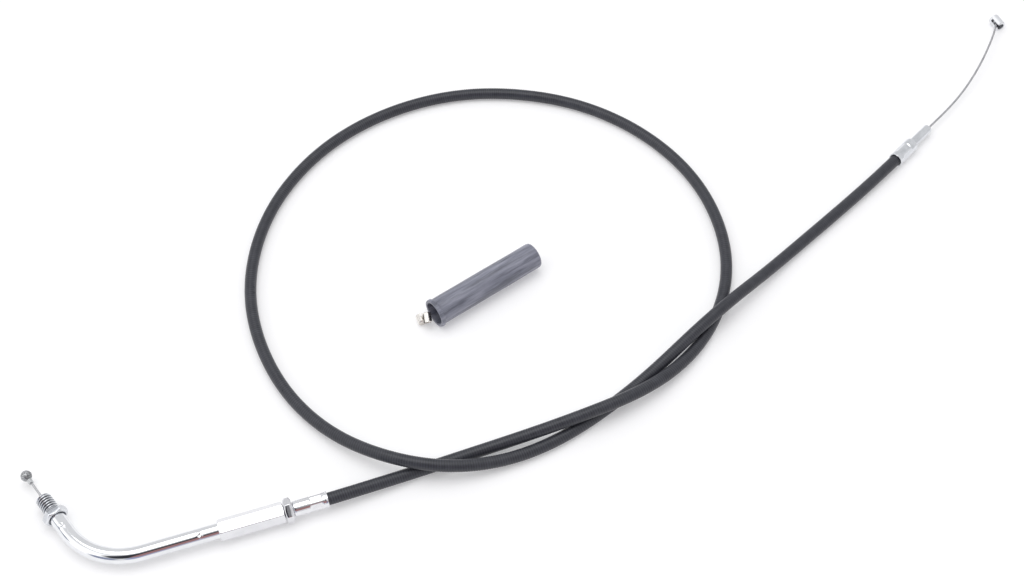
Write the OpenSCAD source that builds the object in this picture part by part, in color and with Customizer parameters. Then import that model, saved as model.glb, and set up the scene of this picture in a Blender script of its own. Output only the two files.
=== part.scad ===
// Motorcycle throttle cable with a threaded elbow, a long hexagonal
// adjuster, a stepped end ferrule and a slotted barrel. Millimetres, +Z up.

/* [Cable] */
// Outside diameter of the vinyl sheath
jacket_d = 6.35; // [6:0.05:6.4]
// Diameter of the inner wire
wire_d = 1.2; // [1:0.05:1.25]

/* [Elbow] */
// Outside diameter of the bent tube
tube_d = 7.9; // [7.4:0.05:7.9]
// Bore of the bent tube
tube_bore = 6.3; // [6.3:0.05:6.6]
// Radius of the bend on its centreline
bend_r = 34; // [30:0.5:34]

/* [Swivel fitting] */
// Across flats of the fitting's hexagon
fitting_af = 10.9; // [10.6:0.1:11.2]
// Thickness of the hexagon
fitting_hex_t = 4.2; // [3.6:0.1:5]
// Major diameter of the fitting's thread
thread_d = 7.94; // [7.7:0.02:8]
// Length of the threaded nose
thread_len = 10; // [8:0.5:10]

/* [Adjuster] */
// Across flats of the long hexagon
sleeve_af = 9.525; // [9.5:0.005:10]
// Length of the long hexagon
sleeve_len = 32; // [31:0.5:32]
// Across flats of the lock nut
nut_af = 11; // [10.6:0.1:11]
// Thickness of the lock nut
nut_t = 4; // [3:0.1:4]
// Major diameter of the adjuster thread
stud_d = 6.35; // [6:0.05:6.35]

/* [Ferrules and ends] */
// Outside diameter of both crimped cups
cup_d = 8; // [7.9:0.05:8.1]
// Diameter of the end ferrule's nose
nose_d = 5.3; // [5:0.1:5.6]
// Length of the end ferrule's nose
nose_len = 15.6; // [14:0.1:15.6]
// Diameter of the ball end at the hand side
ball_d = 5.5; // [5:0.1:6]
// Diameter of the slotted barrel
barrel_d = 6.35; // [6.2:0.05:6.35]
// Length of the slotted barrel
barrel_len = 8; // [7.6:0.1:8.4]

/* [Loose boot] */
// Outside diameter of the boot's body
boot_d = 14.5; // [14.2:0.1:15]
// Bore of the boot
boot_bore = 12.4; // [12:0.1:12.8]
// Length of the boot
boot_len = 65.8; // [60:0.1:68]

/* [Hidden] */

$fn = 48;

// the layout is drawn about a convenient point and then moved so that the
// rigid pieces' box is centred on the frame's origin
frame_x = 1.18;
frame_y = 0.81;

// corner of the elbow, where its two straight legs would meet
elbow_x = -225.4;
elbow_y = -184.8;
axis_z = 6.4;
// directions of the two legs, in the floor plane
leg_a = atan2(1, 3);
leg_f = 129.5;
turn = 180 - (leg_f - leg_a);
tan_len = bend_r * tan(turn / 2);

// stations along the fitting leg, from the corner
f_hex = 33.1;
f_tip = f_hex + fitting_hex_t + thread_len;
f_ball = 63.3;
f_tube = 34.5;
// stations along the adjuster leg, from the corner
a_sleeve = 60.2;
a_tube = 66.5;
a_sleeve_end = a_sleeve + sleeve_len;
a_stud = 68.8;
a_nut = a_sleeve_end + 0.3;
a_cup = 96.8;
a_sheath = 100.56;
a_lip = 114;

// end ferrule: its axis runs along [13, 14] through the sheath's end
end_x = 197;
end_y = 78;
end_z = 4.2;
end_a = atan2(14, 13);
cup_depth = 12;
cup_len = 17.1;

// barrel: the ball's centre, the barrel's direction and its slot's elevation
ball_c = [266, 181, 3.2];
barrel_a = -67.5;
slot_up = 28.3;
ball_back = 2.9;

// boot: centre of its open end and its direction
boot_x = -68.8;
boot_y = -40.05;
boot_z = 8.05;
boot_a = 36.5;

// route of the sheath: it leaves the adjuster, makes one loop that crosses
// itself three times, and ends in the end ferrule
route = [
    [-130, -153, 6.4], [-115, -148, 6.4], [-95, -140, 5], [-73, -131, 3.3], [-44, -120, 3.4],
    [-14, -111, 7.5], [15, -101, 11.5], [42, -86, 8], [65, -64, 3.4], [81, -38, 3.3],
    [89, -8, 3.3], [87, 23, 3.3], [77, 53, 3.3], [60, 78, 3.3], [37, 99, 3.3],
    [9, 114, 3.3], [-21, 121, 3.3], [-52, 122, 3.3], [-82, 115, 3.3], [-110, 101, 3.3],
    [-134, 81, 3.3], [-152, 56, 3.3], [-164, 28, 3.3], [-169, -3, 3.3], [-167, -33, 3.3],
    [-157, -63, 3.3], [-141, -90, 3.3], [-118, -112, 4.5], [-91, -128, 11], [-62, -134, 10.5],
    [-32, -127, 3.8], [-4, -114, 3.3], [21, -95, 3.3], [44, -74, 3.4], [66, -53, 9.5],
    [88, -32, 11], [109, -10, 4.5], [131, 12, 3.3], [154, 34, 3.4], [177.5, 57, 4.2],
    [197, 78, 4.2]
];
// route of the bare wire, from inside the end ferrule's nose to the barrel's ball
bare = [
    [206.75, 88.5, 4.2], [216.5, 99, 4.2], [226.25, 109.5, 4.2], [235.5, 121, 4.6],
    [242.5, 131, 6], [249, 141.5, 7.4], [254.5, 152, 8.2], [259.5, 162.5, 8.2],
    [263.5, 172.5, 6.2], [264.75, 176.75, 4.7], [266, 181, 3.2]
];

// ---- sweeping ----
function unit(v) = v / norm(v);
function cp(p, i) = i < 0 ? 2 * p[0] - p[1] : i > len(p) - 1 ? 2 * p[len(p) - 1] - p[len(p) - 2] : p[i];
function bpt(p, t) = let (i = max(0, min(floor(t), len(p) - 2)), u = t - i)
    (pow(1 - u, 3) * cp(p, i - 1) + (3 * u * u * u - 6 * u * u + 4) * cp(p, i)
    + (-3 * u * u * u + 3 * u * u + 3 * u + 1) * cp(p, i + 1) + u * u * u * cp(p, i + 2)) / 6;
function heading(p, t) = unit(bpt(p, min(t + 0.01, len(p) - 1)) - bpt(p, max(t - 0.01, 0)));
function ring(p, t, r, n) = let (c = bpt(p, t), d = heading(p, t), s = unit(cross(d, [0, 0, 1])), w = cross(s, d))
    [for (j = [0 : n - 1]) c + r * (cos(360 * j / n) * s + sin(360 * j / n) * w)];
function flat(l) = [for (a = l) each a];

// a solid swept round
module rod(p, ts, r, n = 8) {
    m = len(ts);
    pts = concat(flat([for (t = ts) ring(p, t, r, n)]), [bpt(p, ts[0]), bpt(p, ts[m - 1])]);
    polyhedron(points = pts, faces = concat(
        flat([for (k = [0 : m - 2]) for (j = [0 : n - 1]) let (a = k * n + j, b = k * n + (j + 1) % n)
            [[a, b, a + n], [b, b + n, a + n]]]),
        [for (j = [0 : n - 1]) [n * m, (j + 1) % n, j]],
        [for (j = [0 : n - 1]) [n * m + 1, (m - 1) * n + j, (m - 1) * n + (j + 1) % n]]));
}

// a hollow swept round
module pipe(p, ts, r_out, r_in, n = 8) {
    m = len(ts);
    o = n * m;
    pts = concat(flat([for (t = ts) ring(p, t, r_out, n)]), flat([for (t = ts) ring(p, t, r_in, n)]));
    polyhedron(points = pts, faces = concat(
        flat([for (k = [0 : m - 2]) for (j = [0 : n - 1]) let (a = k * n + j, b = k * n + (j + 1) % n)
            [[a, b, a + n], [b, b + n, a + n], [o + a, o + a + n, o + b], [o + b, o + a + n, o + b + n]]]),
        flat([for (j = [0 : n - 1]) let (i = (j + 1) % n) [[j, o + j, i], [i, o + j, o + i]]]),
        flat([for (j = [0 : n - 1]) let (i = (j + 1) % n, e = (m - 1) * n)
            [[e + j, e + i, o + e + j], [e + i, o + e + i, o + e + j]]])));
}

// ---- placing ----
module at_frame() translate([-frame_x, -frame_y, 0]) children();
// local +Z runs along a leg of the elbow, away from its corner; local -X is up
module leg(a) at_frame() translate([elbow_x, elbow_y, axis_z]) rotate([0, 0, a]) rotate([0, 90, 0]) children();
// local +Z runs along the end ferrule towards its nose, from its open lip
module at_end() at_frame() translate([end_x, end_y, end_z]) rotate([0, 0, end_a]) rotate([0, 90, 0])
    translate([0, 0, -cup_depth]) children();
// local +Z runs along the barrel towards its open end, local +X out of its slot
module at_barrel() at_frame() translate(ball_c) rotate([0, 0, barrel_a]) rotate([0, 90, 0])
    rotate([0, 0, 270 - slot_up]) children();
// local +Z runs along the boot, away from its open end
module at_boot() at_frame() translate([boot_x, boot_y, boot_z]) rotate([0, 0, boot_a]) rotate([0, 90, 0]) children();

// ---- shared shapes ----
module tube(r_out, r_in, z0, z1) {
    translate([0, 0, z0]) difference() {
        cylinder(r = r_out, h = z1 - z0);
        translate([0, 0, -1]) cylinder(r = r_in, h = z1 - z0 + 2);
    }
}

// a hexagon with its end corners turned off
module hex_body(af, z0, z1, cut = 0.6) {
    rc = af / sqrt(3);
    intersection() {
        translate([0, 0, z0]) cylinder(r = rc, h = z1 - z0, $fn = 6);
        rotate_extrude($fn = 64) polygon([[0, z0], [af / 2 - 0.15, z0], [rc + 0.05, z0 + cut],
            [rc + 0.05, z1 - cut], [af / 2 - 0.15, z1], [0, z1]]);
    }
}

// the elbow's path with a round section, between two stations; the bend is
// a hair fuller than its straight legs
module bent(r, f_end, a_end) {
    leg(leg_f) translate([0, 0, tan_len - 0.05]) cylinder(r = r, h = f_end - tan_len + 0.05);
    leg(leg_a) translate([0, 0, tan_len - 0.05]) cylinder(r = r, h = a_end - tan_len + 0.05);
    at_frame() translate([elbow_x, elbow_y, axis_z])
        rotate([0, 0, (leg_a + leg_f) / 2]) translate([bend_r / cos(turn / 2), 0, 0])
        rotate([0, 0, 180 - turn / 2]) rotate_extrude(angle = turn, $fn = 96)
        translate([bend_r, 0]) circle(r = r + 0.02, $fn = 48);
}

// ---- cable ----
sheath_rings = [for (k = [0 : 2 * (len(route) - 1)]) k / 2];

module outer_jacket() color("#26262a") at_frame() pipe(route, sheath_rings, jacket_d / 2, 2.45);
module coil_conduit() color("#8d9096") at_frame() pipe(route, sheath_rings, 2.4, 1.55);
module sheath_liner() color("#e8e4d6") at_frame() pipe(route, sheath_rings, 1.5, 0.86);

// the hidden wire starts inside the stud and stops short of the end ferrule,
// so that the sliding end stretch has room to come in
wire_route = concat([[-160, -163, 6.4], [-145, -158, 6.4]], route);
module wire_sheath_run() color("#b9bcc0") at_frame()
    rod(wire_route, [for (k = [0 : 2 * (len(wire_route) - 1) - 1]) k / 2], wire_d / 2);

// ---- adjuster ----
module adjuster_stud() color("#d9dbde") leg(leg_a) difference() {
    union() {
        translate([0, 0, a_stud]) cylinder(r1 = stud_d / 2 - 0.5, r2 = stud_d / 2, h = 0.5);
        translate([0, 0, a_stud + 0.5]) cylinder(r = stud_d / 2, h = a_cup - a_stud - 0.5);
        rotate_extrude($fn = 64) polygon([[0, a_cup], [cup_d / 2 - 0.5, a_cup], [cup_d / 2, a_cup + 0.5],
            [cup_d / 2, a_lip - 1], [cup_d / 2 + 0.25, a_lip - 0.4], [cup_d / 2 + 0.25, a_lip], [0, a_lip]]);
    }
    translate([0, 0, a_stud - 1]) cylinder(r = 0.9, h = a_sheath - a_stud + 2);
    translate([0, 0, a_sheath - 0.06]) cylinder(r = jacket_d / 2 + 0.1, h = 20);
    // crimped flats
    for (q = [0 : 5]) rotate([0, 0, 30 + 60 * q]) translate([cup_d / 2 - 0.25, -3, a_cup + 8.5]) cube([2, 6, 5.5]);
}

module jam_nut() color("#cfd2d6") leg(leg_a) rotate([0, 0, 2.6]) difference() {
    hex_body(nut_af, a_nut, a_nut + nut_t, 0.7);
    translate([0, 0, a_nut - 1]) cylinder(r = stud_d / 2 + 0.07, h = nut_t + 2);
}

module adjuster_sleeve() color("#f1f2f4") leg(leg_a) rotate([0, 0, -13.6]) difference() {
    hex_body(sleeve_af, a_sleeve, a_sleeve_end, 0.8);
    translate([0, 0, a_sleeve - 1]) cylinder(r = tube_d / 2 + 0.07, h = a_tube - a_sleeve + 0.8);
    translate([0, 0, a_tube - 0.2]) cylinder(r = 4.35, h = 2.1);
    translate([0, 0, a_tube]) cylinder(r = stud_d / 2 + 0.07, h = 40);
}

module sleeve_spigot() color("#b08d57") leg(leg_a) difference() {
    union() {
        translate([0, 0, a_tube - 10]) cylinder(r = tube_bore / 2, h = 10.1);
        translate([0, 0, a_tube]) cylinder(r = 4.25, h = 1.5);
    }
    translate([0, 0, a_tube - 11]) cylinder(r = 0.9, h = 14);
}

// ---- elbow ----
module elbow_tube() color("#e3e5e8") difference() {
    bent(tube_d / 2, f_tube, a_tube);
    bent(tube_bore / 2, f_tube + 1, a_tube + 1);
    // two staking dimples
    leg(leg_f) translate([0, 0, 26.6]) rotate([0, 0, 168]) translate([tube_d / 2 + 0.75, 0, 0]) sphere(r = 1.15);
    leg(leg_a) translate([0, 0, 51]) rotate([0, 0, 200]) translate([tube_d / 2 + 0.75, 0, 0]) sphere(r = 1.15);
}

module elbow_liner() color("#efeadb") difference() {
    bent(tube_bore / 2 - 0.05, 24.3, a_tube - 10.1);
    bent(0.9, 26, a_tube - 8);
}

module wire_elbow_run() color("#b9bcc0") bent(wire_d / 2, 24.2, a_tube + 1.9);

module fitting_spigot() color("#b08d57") leg(leg_f) difference() {
    union() {
        translate([0, 0, 24.5]) cylinder(r = tube_bore / 2, h = 10);
        translate([0, 0, 34.4]) cylinder(r = 2.4, h = f_tip - 0.5 - 34.4);
        translate([0, 0, f_tip - 1]) cylinder(r1 = 2.4, r2 = 3, h = 0.6);
    }
    translate([0, 0, 24]) cylinder(r = 0.9, h = 30);
}

// ---- swivel fitting ----
module threaded_fitting() color("#dcdee1") leg(leg_f) difference() {
    union() {
        rotate([0, 0, 30]) hex_body(fitting_af, f_hex, f_hex + fitting_hex_t, 0.6);
        rotate_extrude($fn = 64) polygon([[0, f_hex + fitting_hex_t - 0.5], [3.4, f_hex + fitting_hex_t - 0.5],
            [3.4, f_hex + fitting_hex_t + 0.7], [thread_d / 2, f_hex + fitting_hex_t + 1.2],
            [thread_d / 2, f_tip - 1.2], [thread_d / 2 - 0.4, f_tip - 0.5], [thread_d / 2 - 0.7, f_tip], [0, f_tip]]);
    }
    translate([0, 0, f_hex - 1]) cylinder(r = 4.5, h = 2.7);
    translate([0, 0, f_hex]) cylinder(r = 2.48, h = 30);
    translate([0, 0, f_tip - 1.1]) cylinder(r1 = 2.48, r2 = 3.2, h = 0.7);
    translate([0, 0, f_tip - 0.41]) cylinder(r = 3.2, h = 2);
}

// ---- hand end of the wire ----
module wire_throttle_end() color("#b9bcc0") leg(leg_f) translate([0, 0, 24.6]) cylinder(r = wire_d / 2, h = f_ball - 24.6);
module ball_collar() color("#9fa2a6") leg(leg_f) tube(1.3, wire_d / 2 + 0.02, f_ball - 5.2, f_ball - 2.9);
module throttle_ball() color("#8f9296") leg(leg_f) difference() {
    union() {
        translate([0, 0, f_ball]) sphere(r = ball_d / 2, $fn = 64);
        // parting ridge left by casting
        translate([0, 0, f_ball - 0.3]) cylinder(r = ball_d / 2 + 0.12, h = 0.6);
    }
    translate([0, 0, f_ball - 5]) cylinder(r = wire_d / 2 + 0.02, h = 5);
}

// ---- carburettor end ----
module end_ferrule() color("#cbced2") at_end() difference() {
    rotate_extrude($fn = 64) polygon([[0, 0], [cup_d / 2 + 0.2, 0], [cup_d / 2 + 0.2, 0.5], [cup_d / 2, 1],
        [cup_d / 2, cup_len - 1.2], [cup_d / 2 - 0.7, cup_len], [nose_d / 2, cup_len],
        [nose_d / 2, cup_len + nose_len - 0.6], [nose_d / 2 - 0.6, cup_len + nose_len], [0, cup_len + nose_len]]);
    translate([0, 0, -1]) cylinder(r = jacket_d / 2 + 0.1, h = cup_depth + 1.06);
    translate([0, 0, 1]) cylinder(r = 0.9, h = 40);
    // crimped flats
    for (q = [0 : 5]) rotate([0, 0, 8 + 60 * q]) translate([cup_d / 2 - 0.25, -3, 4]) cube([2, 6, 7]);
}

module wire_carb_end() color("#b9bcc0") at_frame() rod(bare, [for (k = [0 : 4 * (len(bare) - 1)]) k / 4], wire_d / 2);

module barrel_ball() color("#9fa2a6") at_frame() difference() {
    translate(ball_c) sphere(r = 1.9, $fn = 48);
    translate(ball_c) rotate([0, 0, atan2(-4.25, -1.25)]) rotate([0, 90 - atan2(1.5, norm([1.25, 4.25])), 0])
        translate([0, 0, -0.02]) cylinder(r = wire_d / 2 + 0.02, h = 4);
}

// a short cylinder with a seat for a ball end and a slot that lets the wire in
module slotted_barrel(d, l, back, seat_r, slot_w) difference() {
    rotate_extrude($fn = 64) polygon([[0, -back], [d / 2 - 0.35, -back], [d / 2, -back + 0.35],
        [d / 2, l - back - 0.3], [d / 2 - 0.3, l - back], [0, l - back]]);
    translate([0, 0, -seat_r]) cylinder(r = seat_r, h = l);
    translate([0, -slot_w / 2, -slot_w / 2 - 0.15]) cube([d, slot_w, l]);
}

module carb_barrel() color("#c9ccd1") at_barrel() slotted_barrel(barrel_d, barrel_len, ball_back, 2, 1.8);

// ---- loose pieces ----
module adjuster_boot() color("#2d2e33") at_boot() difference() {
    rotate_extrude($fn = 96) polygon([[0, 0], [7.4, 0], [7.85, 0.25], [8, 0.8], [8, 1.8], [7.8, 2.3], [boot_d / 2, 2.6],
        [boot_d / 2, boot_len - 2.2], [boot_d / 2 - 0.35, boot_len - 1.1], [boot_d / 2 - 1, boot_len - 0.4],
        [boot_d / 2 - 2.2, boot_len], [0, boot_len]]);
    translate([0, 0, -1]) cylinder(r = boot_bore / 2, h = boot_len - 1.5);
    translate([0, 0, 1]) cylinder(r = 3.3, h = boot_len);
}

module spare_ferrules() color("#c8c0b4") {
    // one lies on the surface, the other leans on it in front of the boot's mouth
    at_frame() translate([-72.4, -41, 6.1]) rotate([0, 0, 280]) rotate([0, 115, 0]) rotate([0, 0, 250])
        translate([0, 0, -0.9]) slotted_barrel(4.4, 5.4, 1.8, 1.4, 1.4);
    at_frame() translate([-76, -39.4, 2.25]) rotate([0, 0, 112]) rotate([0, 90, 0]) rotate([0, 0, 205])
        translate([0, 0, -0.9]) slotted_barrel(4.4, 5.4, 1.8, 1.4, 1.4);
}

outer_jacket();
coil_conduit();
sheath_liner();
wire_sheath_run();
adjuster_stud();
jam_nut();
adjuster_sleeve();
elbow_tube();
elbow_liner();
wire_elbow_run();
sleeve_spigot();
fitting_spigot();
threaded_fitting();
wire_throttle_end();
ball_collar();
throttle_ball();
end_ferrule();
wire_carb_end();
barrel_ball();
carb_barrel();
adjuster_boot();
spare_ferrules();
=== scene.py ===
import math
import bpy
import bmesh
import numpy as np
from mathutils import Matrix, Vector, noise


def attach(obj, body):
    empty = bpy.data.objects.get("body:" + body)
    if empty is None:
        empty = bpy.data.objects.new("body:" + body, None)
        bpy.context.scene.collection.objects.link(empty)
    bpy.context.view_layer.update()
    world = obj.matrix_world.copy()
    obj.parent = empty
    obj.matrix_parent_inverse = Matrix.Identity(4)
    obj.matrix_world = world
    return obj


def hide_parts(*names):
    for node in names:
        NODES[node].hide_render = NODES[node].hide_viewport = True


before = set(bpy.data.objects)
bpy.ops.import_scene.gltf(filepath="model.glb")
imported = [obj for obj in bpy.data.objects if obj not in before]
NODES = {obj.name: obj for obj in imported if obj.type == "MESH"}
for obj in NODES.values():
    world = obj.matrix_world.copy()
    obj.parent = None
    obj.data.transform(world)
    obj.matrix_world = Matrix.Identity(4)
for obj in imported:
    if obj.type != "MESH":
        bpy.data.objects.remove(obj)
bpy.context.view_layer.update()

scene = bpy.context.scene
MM = 0.001
FX, FY = 1.18, 0.81

# ------------------------------------------------------------------ camera
cam_data = bpy.data.cameras.new("camera")
cam_data.lens = 56.19
cam_data.sensor_width = 36.0
cam_data.clip_start = 0.01
cam_data.clip_end = 20.0
cam = bpy.data.objects.new("camera", cam_data)
scene.collection.objects.link(cam)
cam.location = ((-28.0 - FX) * MM, (-523.0 - FY) * MM, 0.6919)
cam.rotation_euler = (math.radians(36.0), 0.0, 0.0)
scene.camera = cam


# ------------------------------------------------------------------ mesh helpers
def add_object(name, verts, faces, sharp=40.0):
    me = bpy.data.meshes.new(name)
    me.from_pydata(verts, [], faces)
    me.validate()
    bm = bmesh.new()
    bm.from_mesh(me)
    bmesh.ops.recalc_face_normals(bm, faces=bm.faces)
    bm.to_mesh(me)
    bm.free()
    me.polygons.foreach_set("use_smooth", [True] * len(me.polygons))
    if sharp:
        me.set_sharp_from_angle(angle=math.radians(sharp))
    me.update()
    ob = bpy.data.objects.new(name, me)
    scene.collection.objects.link(ob)
    return ob


def skin(name, rings, closed=False, sharp=40.0):
    """rings: array (m, n, 3) in mm or a list of (n, 3) arrays; a ring that is one point is a pole."""
    verts, starts, faces = [], [], []
    for r in rings:
        starts.append((len(verts), len(r)))
        verts.extend([tuple(float(c) * MM for c in p) for p in r])
    m = len(rings)
    pairs = [(i, i + 1) for i in range(m - 1)]
    if closed:
        pairs.append((m - 1, 0))
    for i, k in pairs:
        (a, na), (b, nb) = starts[i], starts[k]
        if na == 1:
            faces += [(a, b + (j + 1) % nb, b + j) for j in range(nb)]
        elif nb == 1:
            faces += [(a + j, a + (j + 1) % na, b) for j in range(na)]
        else:
            faces += [(a + j, a + (j + 1) % na, b + (j + 1) % nb, b + j) for j in range(na)]
    return add_object(name, verts, faces, sharp)


def placed(m, pts):
    """pts (n, 3) in a local frame, in mm, moved by the 4x4 m."""
    a = np.array(m)
    return np.asarray(pts) @ a[:3, :3].T + a[:3, 3]


def lathe(name, m, prof, thetas=72, closed=False, sharp=40.0):
    """prof: (z, r) pairs; r is a number or a function of an angle array and z. Local +Z is the axis."""
    th = np.linspace(0, 2 * math.pi, thetas, endpoint=False) if isinstance(thetas, int) else np.asarray(thetas)
    rings = []
    for z, r in prof:
        rr = r(th, z) if callable(r) else np.full_like(th, float(r))
        if not callable(r) and r == 0:
            rings.append(placed(m, [(0, 0, z)]))
        else:
            rings.append(placed(m, np.stack([rr * np.cos(th), rr * np.sin(th), np.full_like(th, z)], 1)))
    return skin(name, rings, closed, sharp)


def fillet(pts, seg=4):
    """(z, r, radius) corners to (z, r) pairs with rounded corners."""
    out = []
    n = len(pts)
    for i, (z, r, f) in enumerate(pts):
        if f <= 0 or i in (0, n - 1):
            out.append((z, r))
            continue
        p, a, b = Vector((z, r)), Vector(pts[i - 1][:2]), Vector(pts[i + 1][:2])
        u, v = (a - p), (b - p)
        lu, lv = u.length, v.length
        u.normalize(); v.normalize()
        ang = u.angle(v)
        d = min(f / math.tan(ang / 2), lu * 0.49, lv * 0.49)
        for k in range(seg + 1):
            t = k / seg
            q = (p + u * d) * (1 - t) ** 2 + p * (2 * t * (1 - t)) + (p + v * d) * t ** 2
            out.append((q.x, q.y))
    return out


def softmin(a, b, p=50.0):
    return (a ** -p + b ** -p) ** (-1.0 / p)


def hexagon(af, p=46.0, turn=0.0):
    """Radius of a hexagon with rounded corners; a corner lies at local +X plus turn."""
    def f(th):
        s = sum(np.clip(np.cos(th - math.radians(turn + 30 + 60 * k)), 1e-6, None) ** p for k in range(6))
        return af / 2 * s ** (-1.0 / p)
    return f


def hex_thetas(turn=0.0):
    off = [0, 0.8, 1.8, 3.2, 5.2, 8, 13, 20, 30, 40, 47, 52, 54.8, 56.8, 58.2, 59.2]
    return [math.radians(turn + 60 * k + o) for k in range(6) for o in off]


def smooth(a, b, x):
    t = min(1.0, max(0.0, (x - a) / (b - a)))
    return t * t * (3 - 2 * t)


# ------------------------------------------------------------------ routes, as in the part
def cp(p, i):
    return 2 * p[0] - p[1] if i < 0 else 2 * p[-1] - p[-2] if i > len(p) - 1 else p[i]


def bpt(p, t):
    i = int(max(0, min(math.floor(t), len(p) - 2)))
    u = t - i
    return ((1 - u) ** 3 * cp(p, i - 1) + (3 * u ** 3 - 6 * u * u + 4) * cp(p, i)
            + (-3 * u ** 3 + 3 * u * u + 3 * u + 1) * cp(p, i + 1) + u ** 3 * cp(p, i + 2)) / 6


ROUTE = np.array([
    [-130, -153, 6.4], [-115, -148, 6.4], [-95, -140, 5], [-73, -131, 3.3], [-44, -120, 3.4],
    [-14, -111, 7.5], [15, -101, 11.5], [42, -86, 8], [65, -64, 3.4], [81, -38, 3.3],
    [89, -8, 3.3], [87, 23, 3.3], [77, 53, 3.3], [60, 78, 3.3], [37, 99, 3.3],
    [9, 114, 3.3], [-21, 121, 3.3], [-52, 122, 3.3], [-82, 115, 3.3], [-110, 101, 3.3],
    [-134, 81, 3.3], [-152, 56, 3.3], [-164, 28, 3.3], [-169, -3, 3.3], [-167, -33, 3.3],
    [-157, -63, 3.3], [-141, -90, 3.3], [-118, -112, 4.5], [-91, -128, 11], [-62, -134, 10.5],
    [-32, -127, 3.8], [-4, -114, 3.3], [21, -95, 3.3], [44, -74, 3.4], [66, -53, 9.5],
    [88, -32, 11], [109, -10, 4.5], [131, 12, 3.3], [154, 34, 3.4], [177.5, 57, 4.2],
    [197, 78, 4.2]], float)
BARE = np.array([
    [206.75, 88.5, 4.2], [216.5, 99, 4.2], [226.25, 109.5, 4.2], [235.5, 121, 4.6],
    [242.5, 131, 6], [249, 141.5, 7.4], [254.5, 152, 8.2], [259.5, 162.5, 8.2],
    [263.5, 172.5, 6.2], [264.75, 176.75, 4.7], [266, 181, 3.2]], float)
SHIFT = np.array([FX, FY, 0.0])
ROUTE -= SHIFT
BARE -= SHIFT
WIRE = np.vstack([np.array([[-160, -163, 6.4], [-145, -158, 6.4]], float) - SHIFT, ROUTE])


class Line:
    """A spline walked by arc length, in mm, with a steady frame."""

    def __init__(self, ctrl, t0=0.0, t1=None, dense=24):
        t1 = len(ctrl) - 1 if t1 is None else t1
        ts = np.linspace(t0, t1, int((t1 - t0) * dense) + 1)
        self.p = np.array([bpt(ctrl, t) for t in ts])
        seg = np.linalg.norm(np.diff(self.p, axis=0), axis=1)
        self.s = np.concatenate([[0], np.cumsum(seg)])
        self.length = float(self.s[-1])

    def at(self, s):
        s = np.clip(np.asarray(s, float), 0, self.length)
        return np.stack([np.interp(s, self.s, self.p[:, i]) for i in range(3)], 1)

    def frames(self, s):
        c = self.at(s)
        d = self.at(np.asarray(s) + 0.6) - self.at(np.asarray(s) - 0.6)
        d /= np.linalg.norm(d, axis=1)[:, None]
        side = np.cross(d, [0, 0, 1.0])
        side /= np.linalg.norm(side, axis=1)[:, None]
        return c, side, np.cross(side, d)

    def rings(self, s, radius, n):
        """radius: (m, n) array or number."""
        c, side, up = self.frames(s)
        th = np.linspace(0, 2 * math.pi, n, endpoint=False)
        r = radius if np.ndim(radius) == 2 else np.full((len(s), n), float(radius))
        return (c[:, None, :] + (r * np.cos(th))[:, :, None] * side[:, None, :]
                + (r * np.sin(th))[:, :, None] * up[:, None, :])


def tag(ob, name, values):
    """Writes one number per vertex for the materials, which paint shade by it: 0 is open surface, 1 the bottoms of
    grooves, in full painted shade.
    """
    at = ob.data.attributes.new(name, "FLOAT", "POINT")
    at.data.foreach_set("value", np.asarray(values, np.float32))


def local_points(ob, m):
    co = np.zeros(len(ob.data.vertices) * 3)
    ob.data.vertices.foreach_get("co", co)
    return placed(m.inverted(), co.reshape(-1, 3) / MM)


def steps(a, b, d):
    return np.linspace(a, b, max(2, int(round(abs(b - a) / d)) + 1))


# ------------------------------------------------------------------ materials
def new_mat(name):
    mat = bpy.data.materials.new(name)
    mat.use_nodes = True
    nt = mat.node_tree
    return mat, nt, nt.nodes["Principled BSDF"]


def tex(nt, kind, **kw):
    n = nt.nodes.new("ShaderNodeTex" + kind)
    for k, v in kw.items():
        if k in n.inputs:
            n.inputs[k].default_value = v
        else:
            setattr(n, k, v)
    return n


def coords(nt, scale=(1, 1, 1), rot=(0, 0, 0)):
    tc = nt.nodes.new("ShaderNodeTexCoord")
    mp = nt.nodes.new("ShaderNodeMapping")
    mp.inputs["Scale"].default_value = scale
    mp.inputs["Rotation"].default_value = rot
    nt.links.new(tc.outputs["Object"], mp.inputs["Vector"])
    return mp.outputs["Vector"]


def ramp(nt, fac, stops):
    r = nt.nodes.new("ShaderNodeValToRGB")
    e = r.color_ramp.elements
    while len(e) < len(stops):
        e.new(0.5)
    for el, (pos, col) in zip(e, stops):
        el.position = pos
        el.color = col if len(col) == 4 else (*col, 1)
    nt.links.new(fac, r.inputs["Fac"])
    return r.outputs["Color"]


def mixc(nt, fac, a, b, mode="MIX"):
    m = nt.nodes.new("ShaderNodeMix")
    m.data_type = "RGBA"
    m.blend_type = mode
    for sock, v in ((m.inputs["Factor"], fac), (m.inputs["A"], a), (m.inputs["B"], b)):
        if isinstance(v, bpy.types.NodeSocket):
            nt.links.new(v, sock)
        elif sock.type == "RGBA":
            sock.default_value = v if len(v) == 4 else (*v, 1)
        else:
            sock.default_value = v
    return m.outputs["Result"]


def mapr(nt, v, a, b, lo, hi):
    m = nt.nodes.new("ShaderNodeMapRange")
    m.inputs["From Min"].default_value = a
    m.inputs["From Max"].default_value = b
    m.inputs["To Min"].default_value = lo
    m.inputs["To Max"].default_value = hi
    nt.links.new(v, m.inputs["Value"])
    return m.outputs["Result"]


def bump(nt, height, strength, dist, after=None):
    b = nt.nodes.new("ShaderNodeBump")
    b.inputs["Strength"].default_value = strength
    b.inputs["Distance"].default_value = dist
    nt.links.new(height, b.inputs["Height"])
    if after is not None:
        nt.links.new(after, b.inputs["Normal"])
    return b.outputs["Normal"]


def painted_edge_highlight(nt):
    """Painted highlight: bright on convex edges, from the geometry's own pointiness."""
    g = nt.nodes.new("ShaderNodeNewGeometry")
    return mapr(nt, g.outputs["Pointiness"], 0.505, 0.56, 0.0, 1.0)


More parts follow.
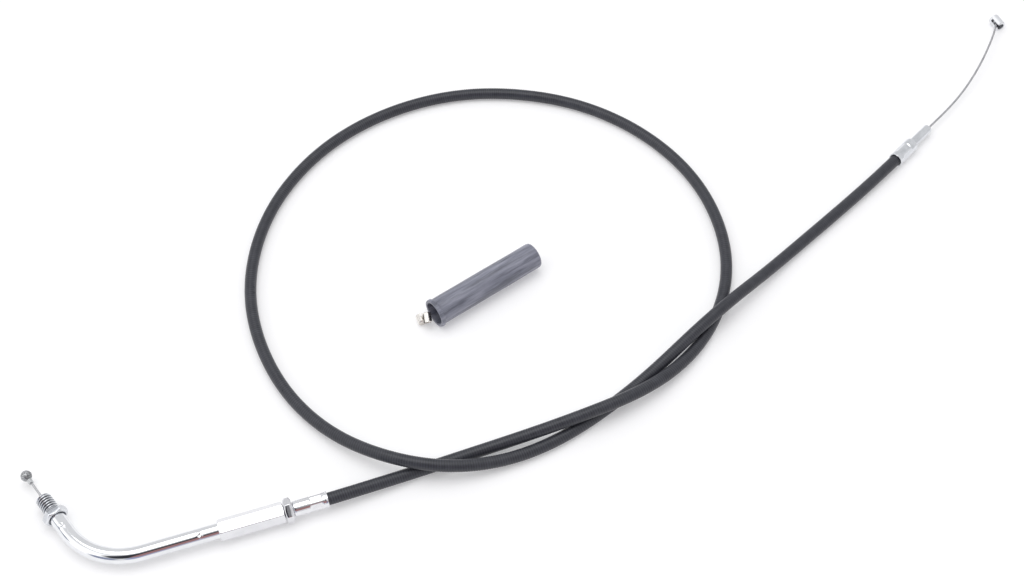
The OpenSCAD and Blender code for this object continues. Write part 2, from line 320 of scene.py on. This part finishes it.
def metal(name, base, dark, rough=(0.08, 0.2), grain=900.0, bump_s=0.05, dist=0.00003, aniso=0.0, edge_highlight=None,
          stain=None, stain_lo=0.55, stretch=(1, 1, 1), rot=(0, 0, 0), groove_and_shade=None):
    mat, nt, p = new_mat(name)
    v = coords(nt, stretch, rot)
    n1 = tex(nt, "Noise", Scale=grain, Detail=4.0, Roughness=0.6)
    n2 = tex(nt, "Noise", Scale=grain / 7, Detail=5.0, Roughness=0.55)
    n3 = tex(nt, "Noise", Scale=grain * 4, Detail=3.0, Roughness=0.7)
    for n in (n1, n2, n3):
        nt.links.new(v, n.inputs["Vector"])
    col = ramp(nt, n2.outputs["Fac"], [(0.35, dark), (0.62, base)])
    if stain is not None:
        col = mixc(nt, mapr(nt, n1.outputs["Fac"], stain_lo, stain_lo + 0.12, 0.0, 1.0), col, stain)
    # painted highlight: convex edges are brightened toward the edge_highlight colour
    if edge_highlight is not None:
        col = mixc(nt, painted_edge_highlight(nt), col, edge_highlight)
    # painted shade: the groove attribute darkens the surface toward this colour
    if groove_and_shade is not None:
        g = nt.nodes.new("ShaderNodeAttribute")
        g.attribute_name = "groove_and_shade"
        col = mixc(nt, g.outputs["Fac"], col, groove_and_shade)
    nt.links.new(col, p.inputs["Base Color"])
    p.inputs["Metallic"].default_value = 1.0
    nt.links.new(mapr(nt, n1.outputs["Fac"], 0.3, 0.7, rough[0], rough[1]), p.inputs["Roughness"])
    if aniso:
        p.inputs["Anisotropic"].default_value = aniso
    nt.links.new(bump(nt, n3.outputs["Fac"], bump_s, dist), p.inputs["Normal"])
    return mat


def vinyl_mat():
    """Satin black vinyl: fine grain, dust specks, faint scuffs that are a little greyer and rougher, and painted shade
    in the rib grooves.
    """
    mat, nt, p = new_mat("vinyl_black")
    v = coords(nt)
    n1 = tex(nt, "Noise", Scale=260.0, Detail=5.0, Roughness=0.6)
    n2 = tex(nt, "Noise", Scale=2600.0, Detail=3.0, Roughness=0.6)
    n3 = tex(nt, "Noise", Scale=45.0, Detail=3.0, Roughness=0.5)
    vo = tex(nt, "Voronoi", Scale=1500.0)
    for n in (n1, n2, n3, vo):
        nt.links.new(v, n.inputs["Vector"])
    col = ramp(nt, n1.outputs["Fac"], [(0.3, (0.032, 0.034, 0.043)), (0.7, (0.052, 0.054, 0.066))])
    # painted shade: the rib grooves are darkened toward this colour
    g = nt.nodes.new("ShaderNodeAttribute")
    g.attribute_name = "groove_and_shade"
    col = mixc(nt, g.outputs["Fac"], col, (0.014, 0.014, 0.018))
    speck = mapr(nt, vo.outputs["Distance"], 0.05, 0.09, 1.0, 0.0)
    col = mixc(nt, speck, col, (0.045, 0.046, 0.052))
    nt.links.new(col, p.inputs["Base Color"])
    r1 = mapr(nt, n1.outputs["Fac"], 0.3, 0.7, 0.30, 0.40)
    r3 = mapr(nt, n3.outputs["Fac"], 0.35, 0.65, -0.03, 0.05)
    add = nt.nodes.new("ShaderNodeMath")
    nt.links.new(r1, add.inputs[0])
    nt.links.new(r3, add.inputs[1])
    nt.links.new(add.outputs["Value"], p.inputs["Roughness"])
    p.inputs["Specular IOR Level"].default_value = 0.40
    nt.links.new(bump(nt, n2.outputs["Fac"], 0.2, 0.00003), p.inputs["Normal"])
    return mat


def turned(nt, angle, scale):
    """Object coordinates turned about Z first and stretched along the turned X after that."""
    tc = nt.nodes.new("ShaderNodeTexCoord")
    m1 = nt.nodes.new("ShaderNodeMapping")
    m1.inputs["Rotation"].default_value = (0, 0, math.radians(angle))
    m2 = nt.nodes.new("ShaderNodeMapping")
    m2.inputs["Scale"].default_value = scale
    nt.links.new(tc.outputs["Object"], m1.inputs["Vector"])
    nt.links.new(m1.outputs["Vector"], m2.inputs["Vector"])
    return m2.outputs["Vector"]


def rubber_mat():
    """Moulded dark rubber lightened to grey by painted sheen, with broad painted reflection streaks along its length
    and fine pores.
    """
    mat, nt, p = new_mat("boot_rubber")
    v = coords(nt)
    n1 = tex(nt, "Noise", Scale=420.0, Detail=4.0, Roughness=0.55)
    nt.links.new(turned(nt, -36.5, (0.10, 1, 1)), n1.inputs["Vector"])
    n4 = tex(nt, "Noise", Scale=1500.0, Detail=2.0, Roughness=0.5)
    nt.links.new(turned(nt, -36.5, (0.05, 1, 1)), n4.inputs["Vector"])
    n2 = tex(nt, "Noise", Scale=110.0, Detail=5.0, Roughness=0.6)
    n3 = tex(nt, "Noise", Scale=3200.0, Detail=2.0, Roughness=0.6)
    for n in (n2, n3):
        nt.links.new(v, n.inputs["Vector"])
    # painted reflection: broad light and dark streaks along the boot's length
    col = ramp(nt, n1.outputs["Fac"], [(0.36, (0.095, 0.100, 0.130)), (0.48, (0.180, 0.187, 0.235)), (0.66, (0.310, 0.315, 0.380))])
    col = mixc(nt, mapr(nt, n2.outputs["Fac"], 0.35, 0.7, 0.0, 0.5), col, (0.160, 0.167, 0.210))
    # painted reflection: thinner light streaks along the boot's length
    col = mixc(nt, mapr(nt, n4.outputs["Fac"], 0.55, 0.72, 0.0, 0.45), col, (0.27, 0.275, 0.325))
    nt.links.new(col, p.inputs["Base Color"])
    nt.links.new(mapr(nt, n1.outputs["Fac"], 0.3, 0.7, 0.40, 0.56), p.inputs["Roughness"])
    p.inputs["Specular IOR Level"].default_value = 0.42
    p.inputs["Coat Weight"].default_value = 0.35
    p.inputs["Coat Roughness"].default_value = 0.22
    nt.links.new(bump(nt, n3.outputs["Fac"], 0.25, 0.00005, bump(nt, n1.outputs["Fac"], 0.35, 0.0003)), p.inputs["Normal"])
    return mat


def plastic_mat(name, a, b, rough):
    mat, nt, p = new_mat(name)
    v = coords(nt)
    n1 = tex(nt, "Noise", Scale=500.0, Detail=3.0, Roughness=0.5)
    nt.links.new(v, n1.inputs["Vector"])
    nt.links.new(ramp(nt, n1.outputs["Fac"], [(0.3, a), (0.7, b)]), p.inputs["Base Color"])
    p.inputs["Roughness"].default_value = rough
    nt.links.new(bump(nt, n1.outputs["Fac"], 0.1, 0.00005), p.inputs["Normal"])
    return mat


M_VINYL = vinyl_mat()
M_BOOT = rubber_mat()
M_CHROME_TUBE = metal("chrome_tube", (0.86, 0.87, 0.885), (0.80, 0.81, 0.83), (0.03, 0.07), 700.0, 0.02)
M_CHROME_SLEEVE = metal("chrome_sleeve", (0.80, 0.80, 0.82), (0.74, 0.745, 0.765), (0.07, 0.14), 1200.0, 0.05)
M_CHROME_NUT = metal("chrome_nut", (0.80, 0.80, 0.82), (0.72, 0.72, 0.74), (0.06, 0.14), 1100.0, 0.06)
M_CHROME_STUD = metal("chrome_stud", (0.86, 0.86, 0.88), (0.78, 0.79, 0.81), (0.04, 0.10), 900.0, 0.04)
# the fitting: painted shade in its thread grooves and on its upward hex face, and painted highlights on its convex
# edges
M_ZINC = metal("zinc_fitting", (0.66, 0.68, 0.71), (0.56, 0.57, 0.60), (0.14, 0.28), 1400.0, 0.15, 0.00004, edge_highlight=(0.86, 0.87, 0.89), groove_and_shade=(0.13, 0.14, 0.16))
M_BRASS = metal("spigot_brass", (0.62, 0.48, 0.26), (0.50, 0.38, 0.20), (0.18, 0.35), 1000.0, 0.1)
M_CAST = metal("cast_end", (0.50, 0.51, 0.52), (0.22, 0.225, 0.23), (0.28, 0.55), 1500.0, 0.6, 0.00012, stain=(0.13, 0.13, 0.135), stain_lo=0.5)
M_COLLAR = metal("collar_steel", (0.62, 0.63, 0.64), (0.46, 0.47, 0.48), (0.25, 0.45), 1500.0, 0.3, 0.00006)
# the ferrule, the barrel and the spare pieces get painted highlights on their convex edges
M_FERRULE = metal("ferrule_alloy", (0.74, 0.755, 0.78), (0.65, 0.665, 0.69), (0.10, 0.20), 1600.0, 0.12, 0.00003, edge_highlight=(0.9, 0.91, 0.93))
M_BARREL = metal("barrel_alloy", (0.38, 0.39, 0.41), (0.30, 0.31, 0.33), (0.42, 0.58), 1500.0, 0.3, 0.00006, edge_highlight=(0.8, 0.81, 0.83))
M_SPARE = metal("spare_nickel", (0.50, 0.455, 0.41), (0.34, 0.305, 0.275), (0.16, 0.3), 1300.0, 0.15, 0.00004, edge_highlight=(0.85, 0.82, 0.78))
M_WIRE = metal("wire_steel", (0.52, 0.52, 0.535), (0.40, 0.40, 0.415), (0.24, 0.38), 2500.0, 0.15, 0.00002)
M_COIL = metal("conduit_steel", (0.50, 0.51, 0.53), (0.34, 0.35, 0.37), (0.3, 0.5), 1500.0, 0.2)
M_LINER = plastic_mat("liner_polymer", (0.78, 0.75, 0.66), (0.86, 0.84, 0.76), 0.35)


def wears(ob, mat):
    ob.data.materials.clear()
    ob.data.materials.append(mat)
    return ob


def dress(node, mat):
    ob = NODES[node]
    for s in ob.material_slots:
        s.link = "OBJECT"
        s.material = mat


# ------------------------------------------------------------------ cords
line = Line(ROUTE)
PITCH = 1.27
N_J = 22
s_out = steps(0, line.length, PITCH / 5)
th_j = np.linspace(0, 2 * math.pi, N_J, endpoint=False)
phase = (s_out[:, None] / PITCH + th_j[None, :] / (2 * math.pi)) % 1.0
groove_and_shade = np.exp(-((phase - 0.5) / 0.17) ** 2)
slow = np.array([noise.noise(Vector((s / 9.0, 3.1, 0.7))) for s in s_out])[:, None]
r_out = 3.175 - (0.10 + 0.02 * slow) * groove_and_shade + 0.012 * slow
s_in = steps(line.length, 0, 8.0)
rings = list(line.rings(s_out, r_out, N_J)) + list(line.rings(s_in, 2.45, N_J))
jacket = wears(skin("sheath_jacket", rings, closed=True, sharp=55.0), M_VINYL)
# painted shade in the rib grooves, strongest at their bottoms and varying slowly along the cable
tag(jacket, "groove_and_shade", np.concatenate([(groove_and_shade * (0.8 + 0.25 * slow)).ravel(), np.zeros(len(s_in) * N_J)]).clip(0, 1))
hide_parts("outer_jacket")
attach(jacket, "cable")


def core(name, node, mat, r_o, r_i, n=14, step=6.0):
    a, b = steps(0, line.length, step), steps(line.length, 0, step)
    ob = wears(skin(name, list(line.rings(a, r_o, n)) + list(line.rings(b, r_i, n)), closed=True), mat)
    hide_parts(node)
    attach(ob, "cable")
    return ob


coil = core("sheath_coil", "coil_conduit", M_COIL, 2.40, 1.55)
liner = core("sheath_inner_liner", "sheath_liner", M_LINER, 1.5, 0.86)
hidden = Line(WIRE, 0.0, len(WIRE) - 1.5)
s_h = steps(0, hidden.length, 6.0)
rr = list(hidden.rings(s_h, 0.6, 12))
inner_wire = wears(skin("sheath_inner_wire", [hidden.at([0])] + rr + [hidden.at([hidden.length])]), M_WIRE)
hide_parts("wire_sheath_run")
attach(inner_wire, "cable")

bare = Line(BARE)


def stranded(ln, r, step=0.35, n=36, lay=9.0, strands=12):
    s = steps(0, ln.length, step)
    th = np.linspace(0, 2 * math.pi, n, endpoint=False)
    lob = np.abs(np.cos((th[None, :] - 2 * math.pi * s[:, None] / lay) * strands / 2))
    return [ln.at([0])] + list(ln.rings(s, r - 0.075 * (1 - lob ** 0.8), n)) + [ln.at([ln.length])]


carb_wire = wears(skin("bare_wire", stranded(bare, 0.6), sharp=0), M_WIRE)
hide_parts("wire_carb_end")
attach(carb_wire, "carb_wire")

# ------------------------------------------------------------------ placing, as in the part
LEG_A = math.degrees(math.atan2(1, 3))
LEG_F = 129.5
BEND_R = 34.0
TURN = 180 - (LEG_F - LEG_A)
TAN = BEND_R * math.tan(math.radians(TURN / 2))


def rz(a):
    return Matrix.Rotation(math.radians(a), 4, "Z")


def ry(a):
    return Matrix.Rotation(math.radians(a), 4, "Y")


def tr(x, y, z):
    return Matrix.Translation((x, y, z))


CORNER = tr(-225.4 - FX, -184.8 - FY, 6.4)
M_A = CORNER @ rz(LEG_A) @ ry(90)
M_F = CORNER @ rz(LEG_F) @ ry(90)
END_A = math.degrees(math.atan2(14, 13))
M_E = tr(197 - FX, 78 - FY, 4.2) @ rz(END_A) @ ry(90) @ tr(0, 0, -12)
M_B = tr(-68.8 - FX, -40.05 - FY, 8.05) @ rz(36.5) @ ry(90)

# ------------------------------------------------------------------ elbow tube
arc_c = np.array([-225.4 - FX, -184.8 - FY, 6.4]) + BEND_R / math.cos(math.radians(TURN / 2)) * np.array(
    [math.cos(math.radians((LEG_A + LEG_F) / 2)), math.sin(math.radians((LEG_A + LEG_F) / 2)), 0])


def elbow_point(s, f_end=34.5, a_end=66.5):
    """Point and heading at arc length s from the fitting end."""
    v = np.array([-225.4 - FX, -184.8 - FY, 6.4])
    df = np.array([math.cos(math.radians(LEG_F)), math.sin(math.radians(LEG_F)), 0])
    da = np.array([math.cos(math.radians(LEG_A)), math.sin(math.radians(LEG_A)), 0])
    l1, l2 = f_end - TAN, BEND_R * math.radians(TURN)
    if s <= l1:
        return v + df * (f_end - s), -df
    if s >= l1 + l2:
        return v + da * (TAN + s - l1 - l2), da
    start = v + df * TAN - arc_c
    g = (s - l1) / BEND_R
    c, sn = math.cos(g), math.sin(g)
    q = np.array([start[0] * c - start[1] * sn, start[0] * sn + start[1] * c, 0])
    return arc_c + q, np.array([-q[1], q[0], 0]) / BEND_R


L1, L2 = 34.5 - TAN, BEND_R * math.radians(TURN)
L_ALL = L1 + L2 + 66.5 - TAN
D1, D2 = 34.5 - 26.6, L1 + L2 + 51 - TAN
ss = set(np.round(steps(0, L_ALL, 0.9), 4))
for d in (D1, D2):
    ss |= set(np.round(steps(d - 1.6, d + 1.6, 0.11), 4))
ss = np.array(sorted(ss))
N_T = 112
th_t = np.linspace(0, 2 * math.pi, N_T, endpoint=False)


def tube_ring(s, rad):
    c, d = elbow_point(s)
    side = np.cross(d, [0, 0, 1.0])
    up = np.array([0, 0, 1.0])
    return c + (rad * np.cos(th_t))[:, None] * side + (rad * np.sin(th_t))[:, None] * up


def dimple(s, th, s0, th0):
    arc = 3.95 * np.angle(np.exp(1j * (th - th0)))
    q = np.sqrt(arc ** 2 + (s - s0) ** 2)
    return -0.42 * np.exp(-(q / 0.62) ** 2) + 0.07 * np.exp(-((q - 1.15) / 0.4) ** 2)


# the viewer's side of each straight leg, a little below the tube's crown
TH1 = math.radians(90 - 12)
TH2 = math.radians(90 - 22)
outer = []
for s in ss:
    r = 3.955 + dimple(s, th_t, D1, TH1) + dimple(s, th_t, D2, TH2)
    r = r - 0.25 * (1 - smooth(0, 0.4, s)) - 0.25 * (1 - smooth(0, 0.4, L_ALL - s))
    outer.append(tube_ring(s, r))
inner = [tube_ring(s, np.full(N_T, 3.16)) for s in steps(L_ALL, 0, 3.0)]
tube = wears(skin("elbow_pipe", outer + inner, closed=True), M_CHROME_TUBE)
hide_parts("elbow_tube")
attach(tube, "elbow")

# ------------------------------------------------------------------ swivel fitting
F_HEX, F_TOP = 33.1, 37.3
F_TIP = F_TOP + 10.0
hx = hexagon(10.9, 60.0, turn=30.0)


def hex_end(z0, z1, face_r, cut, big):
    """(z, cone radius) pairs of a chamfered block between z0 and z1."""
    up = [(0.0, face_r), (0.03, face_r + 0.12), (0.12, face_r + 0.32), (0.3, face_r + 0.62), (cut, big)]
    lo = [(z0 + dz, r) for dz, r in up]
    hi = [(z1 - dz, r) for dz, r in reversed(up)]
    mid = [(z0 + (z1 - z0) * k / 6, 99.0) for k in range(1, 6) if cut < (z1 - z0) * k / 6 < z1 - z0 - cut]
    return lo + [(z, 99.0) for z, _ in mid] + hi


def with_cone(h, cone):
    return lambda th, z: softmin(h(th), np.full_like(th, cone), 40.0)


PF = 1.411
prof = [(F_TIP - 0.75, 2.48), (F_TIP - 0.45, 2.6), (F_TIP - 0.30, 3.15), (F_TIP - 0.02, 3.2)]
crest = 3.95


def ridges(th, z):
    ph = (z - F_TOP) / PF - th / (2 * math.pi)
    w = 0.5 - 0.5 * np.cos(2 * math.pi * ph)
    depth = 0.74 * (1 - w ** 0.62)
    depth = depth * smooth(F_TOP + 0.35, F_TOP + 1.1, z)
    neck = 0.62 * (1 - smooth(F_TOP + 0.55, F_TOP + 1.3, z))
    r = crest - np.maximum(depth, neck)
    tip = 3.22 + (crest - 3.22) * math.sqrt(max(0.0, 1 - (1 - min(1.0, (F_TIP - z) / 1.1)) ** 2))
    return softmin(r, np.full_like(th, tip + 0.05), 60.0)


prof += [(z, ridges) for z in steps(F_TIP, F_TOP + 0.02, PF / 12)]
he = hex_end(F_HEX, F_TOP, 5.0, 0.75, 7.2)
prof += [(z, with_cone(hx, c)) for z, c in reversed(he)]
prof += [(F_HEX - 0.0, 4.62), (F_HEX + 0.12, 4.5), (F_HEX + 1.5, 4.5), (F_HEX + 1.62, 4.4), (F_HEX + 1.62, 2.55), (F_HEX + 1.75, 2.48)]
fit_th = sorted(set(np.round(hex_thetas(30.0), 6)))
fitting = wears(lathe("swivel_fitting", M_F, prof, fit_th, closed=True, sharp=50.0), M_ZINC)
# painted shade on the fitting: the thread grooves darken toward their bottoms, and the upward hex face takes 0.55 of
# the painted shade
q = local_points(fitting, M_F)
rad, up = np.hypot(q[:, 0], q[:, 1]), np.degrees(np.arctan2(q[:, 1], -q[:, 0]))
cut = np.clip((3.93 - rad) / 0.42, 0, 1) * (q[:, 2] > F_TOP + 0.1) * (q[:, 2] < F_TIP - 0.9)
top_face_shade = (q[:, 2] > F_HEX + 0.35) * (q[:, 2] < F_TOP - 0.3) * (np.abs(up - 0.0) < 27) * 0.55
tag(fitting, "groove_and_shade", np.maximum(cut, top_face_shade))
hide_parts("threaded_fitting")
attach(fitting, "swivel")

# ------------------------------------------------------------------ adjuster sleeve, nut, stud
A0, A1 = 60.2, 92.2
hs = hexagon(9.525, 50.0, turn=-13.6)


def round_end(z0, z1, face_r, rad, rc):
    ts = [0.0, 0.02, 0.07, 0.16, 0.3, 0.5, 0.75, 1.0]
    arc = [(rad * t, face_r + (rc - face_r) * math.sqrt(1 - (1 - t) ** 2)) for t in ts]
    out = [(z0 + d, r) for d, r in arc]
    out += [(z, 99.0) for z in np.linspace(z0 + rad + 0.5, z1 - rad - 0.5, 10)]
    out += [(z1 - d, r) for d, r in reversed(arc)]
    return out


prof = [(A0 + 0.15, 4.05)]
prof += [(z, with_cone(hs, c)) for z, c in round_end(A0, A1, 4.42, 1.15, 5.75)]
prof += [(A1, 3.6), (A1 - 0.25, 3.28), (68.4, 3.26), (68.2, 4.35), (66.35, 4.35), (66.25, 4.04)]
sleeve = wears(lathe("hex_sleeve", M_A, prof, sorted(hex_thetas(-13.6)), closed=True, sharp=50.0), M_CHROME_SLEEVE)
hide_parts("adjuster_sleeve")
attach(sleeve, "adjuster")

N0, N1 = 92.5, 96.5
hn = hexagon(11.0, 60.0, turn=2.6)
prof = [(N0 + 0.3, 3.26), (N0, 3.6)]
prof += [(z, with_cone(hn, c)) for z, c in hex_end(N0, N1, 5.05, 0.8, 7.2)]
prof += [(N1, 3.6), (N1 - 0.3, 3.26)]
nut = wears(lathe("lock_nut_hex", M_A, prof, sorted(hex_thetas(2.6)), closed=True, sharp=50.0), M_CHROME_NUT)
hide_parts("jam_nut")
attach(nut, "lock_nut")

PS = 0.907143


def stud_thread(th, z):
    ph = (z - 68.8) / PS - th / (2 * math.pi)
    w = 0.5 - 0.5 * np.cos(2 * math.pi * ph)
    d = 0.46 * (1 - w ** 0.7) * smooth(68.9, 69.6, z) * (1 - smooth(95.6, 96.4, z))
    tip = 0.5 * (1 - smooth(68.8, 69.5, z))
    return 3.172 - np.maximum(d, tip)


def crimped(r0, flat, z0, z1, turn, count=6, lead=0.7):
    """Cup radius with pressed flats between z0 and z1; each flat has rounded ends."""
    def f(th, z):
        w = smooth(z0, z0 + lead, z) * (1 - smooth(z1 - lead, z1, z))
        best = np.full_like(th, r0)
        for k in range(count):
            d = np.angle(np.exp(1j * (th - math.radians(turn + k * 360 / count))))
            fl = np.where(np.abs(d) < 1.2, flat / np.cos(np.clip(d, -1.2, 1.2)), 99)
            best = np.minimum(best, fl)
        return r0 - w * (r0 - best)
    return f


cup = crimped(4.0, 3.70, 104.9, 111.6, 0.0)
prof = [(68.8, 0.92)] + [(z, stud_thread) for z in steps(68.8, 96.45, PS / 9)]
prof += [(96.8, 3.05), (96.8, 3.5), (96.86, 3.68), (97.05, 3.86), (97.35, 3.97), (97.8, 4.0)]
prof += [(z, cup) for z in steps(98.4, 112.4, 0.22)]
prof += fillet([(112.6, 4.0, 0), (113.1, 4.03, 0.3), (113.55, 4.24, 0.15), (113.98, 4.24, 0.12), (114.0, 3.5, 0.1), (113.2, 3.3, 0.2), (101.0, 3.28, 0)])
prof += [(100.5, 3.2), (100.5, 0.92)]
stud = wears(lathe("threaded_stud", M_A, prof, 84, closed=True, sharp=50.0), M_CHROME_STUD)
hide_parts("adjuster_stud")
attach(stud, "cable")

# ------------------------------------------------------------------ end ferrule
cup_e = crimped(4.0, 3.58, 3.2, 11.9, 8.0)
prof = fillet([(0.6, 3.3, 0), (0.05, 3.45, 0.1), (0.0, 4.1, 0.1), (0.5, 4.18, 0.2), (1.1, 4.0, 0.3), (1.6, 4.0, 0)])
prof += [(z, cup_e) for z in steps(1.9, 13.2, 0.22)]
prof += fillet([(13.6, 4.0, 0), (16.2, 4.0, 0.8), (17.1, 3.1, 0.3), (17.15, 2.65, 0.25), (18.2, 2.65, 0)])
prof += [(20.0, 2.65), (24.0, 2.65), (28.0, 2.65)]
prof += fillet([(31.0, 2.65, 0), (32.7, 2.65, 0.7), (32.7, 1.2, 0.3), (31.6, 0.92, 0)])
prof += [(24.0, 0.92), (12.1, 0.92), (12.0, 3.28)]
ferrule = wears(lathe("stepped_ferrule", M_E, prof, 84, closed=True, sharp=50.0), M_FERRULE)
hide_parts("end_ferrule")
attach(ferrule, "cable")

# ------------------------------------------------------------------ hand end: wire, ball
class Straight:
    def __init__(self, m, z0, z1):
        self.m, self.z0, self.length = m, z0, z1 - z0

    def at(self, s):
        return placed(self.m, [(0, 0, self.z0 + v) for v in s])

    def rings(self, s, r, n):
        th = np.linspace(0, 2 * math.pi, n, endpoint=False)
        return [placed(self.m, np.stack([ri * np.cos(th), ri * np.sin(th), np.full(n, self.z0 + si)], 1)) for si, ri in zip(s, r)]


hand = Straight(M_F, 24.6, 62.3)
hand_wire = wears(skin("hand_wire_strand", stranded(hand, 0.6), sharp=0), M_WIRE)
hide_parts("wire_throttle_end")
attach(hand_wire, "hand_wire")


BALL_Z, BALL_R = 63.3, 2.75


def rough_ball(th, z):
    u = (z - BALL_Z) / BALL_R
    base = BALL_R * math.sqrt(max(1e-6, 1 - u * u))
    out = []
    for t in th:
        q = Vector((math.cos(t) * math.sqrt(max(0, 1 - u * u)), math.sin(t) * math.sqrt(max(0, 1 - u * u)), u))
        out.append(0.10 * noise.noise(q * 3.1) + 0.06 * noise.noise(q * 7.7))
    ridge = 0.10 * math.exp(-((z - BALL_Z) / 0.22) ** 2)
    return base + np.array(out) * math.sqrt(max(0.0, 1 - u * u)) + ridge - 0.02


zs = [BALL_Z - BALL_R * math.cos(math.pi * k / 44) for k in range(3, 44)]
prof = [(zs[0] + 0.25, 0.62)] + [(z, rough_ball) for z in zs] + [(BALL_Z + BALL_R, 0)]
ball = wears(lathe("ball_end", M_F, [(62.9, 0), (62.9, 0.62)] + prof, 72, sharp=0), M_CAST)
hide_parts("throttle_ball")
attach(ball, "hand_wire")

# ------------------------------------------------------------------ boot
def boot_wall(r0, amp):
    def f(th, z):
        return r0 + amp * np.array([noise.noise(Vector((math.cos(t) * 1.3, math.sin(t) * 1.3, z / 16.0))) for t in th])
    return f


prof = fillet([(3.0, 6.2, 0), (0.25, 6.25, 0.3), (0.0, 6.9, 0.3), (0.0, 7.8, 0.5), (0.9, 8.0, 0.4), (1.9, 7.95, 0.5), (2.5, 7.3, 0.5), (3.4, 7.25, 0)], 5)
prof += [(z, boot_wall(7.24, 0.10)) for z in steps(3.9, 60.3, 1.1)]
prof += fillet([(61.3, 7.24, 0), (65.7, 7.2, 2.3), (65.8, 4.2, 0.5), (65.8, 3.35, 0.2), (64.8, 3.3, 0)], 7)
prof += [(63.4, 3.3), (63.25, 3.6), (63.2, 6.2)] + [(z, 6.2) for z in steps(60, 6, 4.0)]
boot = wears(lathe("rubber_boot", M_B, prof, 96, closed=True, sharp=60.0), M_BOOT)
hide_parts("adjuster_boot")
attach(boot, "boot")

# ------------------------------------------------------------------ kept solids, with their own finish
for node, mat in (("elbow_liner", M_LINER), ("wire_elbow_run", M_WIRE), ("sleeve_spigot", M_BRASS), ("fitting_spigot", M_BRASS),
                  ("ball_collar", M_COLLAR), ("barrel_ball", M_COLLAR), ("carb_barrel", M_BARREL), ("spare_ferrules", M_SPARE)):
    dress(node, mat)

# ------------------------------------------------------------------ stage and light
def stage_mat():
    mat, nt, p = new_mat("stage_white")
    p.inputs["Base Color"].default_value = (0.75, 0.75, 0.752, 1)
    p.inputs["Emission Color"].default_value = (0.99, 0.99, 1.0, 1)
    p.inputs["Emission Strength"].default_value = 0.27
    p.inputs["Roughness"].default_value = 0.6
    p.inputs["Specular IOR Level"].default_value = 0.2
    return mat


bm = bmesh.new()
bmesh.ops.create_grid(bm, x_segments=1, y_segments=1, size=6.0)
me = bpy.data.meshes.new("stage_floor")
bm.to_mesh(me)
bm.free()
floor = bpy.data.objects.new("stage_floor", me)
scene.collection.objects.link(floor)
floor.location = (0, 0, 0.0)
wears(floor, stage_mat())

world = bpy.data.worlds.new("studio")
scene.world = world
world.use_nodes = True
wn = world.node_tree
bg = wn.nodes["Background"]
tc = wn.nodes.new("ShaderNodeTexCoord")


def blob(cx, cy, cz, lo, hi):
    """1 inside an angular distance of the direction, fading to 0 (lo and hi are cosines)."""
    d = wn.nodes.new("ShaderNodeVectorMath")
    d.operation = "DOT_PRODUCT"
    n = Vector((cx, cy, cz)).normalized()
    d.inputs[1].default_value = n
    wn.links.new(tc.outputs["Generated"], d.inputs[0])
    return mapr(wn, d.outputs["Value"], lo, hi, 0.0, 1.0)




def toward(zenith, azimuth):
    z, a = math.radians(zenith), math.radians(azimuth)
    return math.sin(z) * math.cos(a), math.sin(z) * math.sin(a), math.cos(z)


def patch(under, zenith, azimuth, radius, soft, tint):
    fac = blob(*toward(zenith, azimuth), math.cos(math.radians(radius + soft)), math.cos(math.radians(max(0.5, radius - soft))))
    return mixc(wn, fac, under, tint)


# a white tent: a brighter side panel, the dark opening in front, and two dim coloured parts beside it
col = patch((0.86, 0.865, 0.88), 60, 205, 32, 9, (1.45, 1.45, 1.45))
col = patch(col, 78, -120, 15, 4, (0.30, 0.33, 0.45))
col = patch(col, 77, -84, 11, 3, (0.36, 0.40, 0.62))
col = patch(col, 45, -97, 21, 4, (0.04, 0.04, 0.05))
col = patch(col, 58, -73, 14, 3, (0.40, 0.22, 0.22))
col = patch(col, 76, -168, 6, 3, (0.12, 0.15, 0.24))
wn.links.new(col, bg.inputs["Color"])
bg.inputs["Strength"].default_value = 0.92


def area(name, loc, target, size, power, color=(1, 1, 1)):
    d = bpy.data.lights.new(name, "AREA")
    d.shape = "DISK"
    d.size = size
    d.energy = power
    d.color = color
    o = bpy.data.objects.new(name, d)
    scene.collection.objects.link(o)
    o.location = loc
    o.rotation_euler = (Vector(target) - Vector(loc)).to_track_quat("-Z", "Y").to_euler()
    return o


area("top_softbox", (-0.157, 0.09, 1.287), (0, 0, 0), 1.15, 6.0)
scene.view_settings.view_transform = "Standard"
scene.view_settings.look = "None"
scene.view_settings.exposure = 0.0
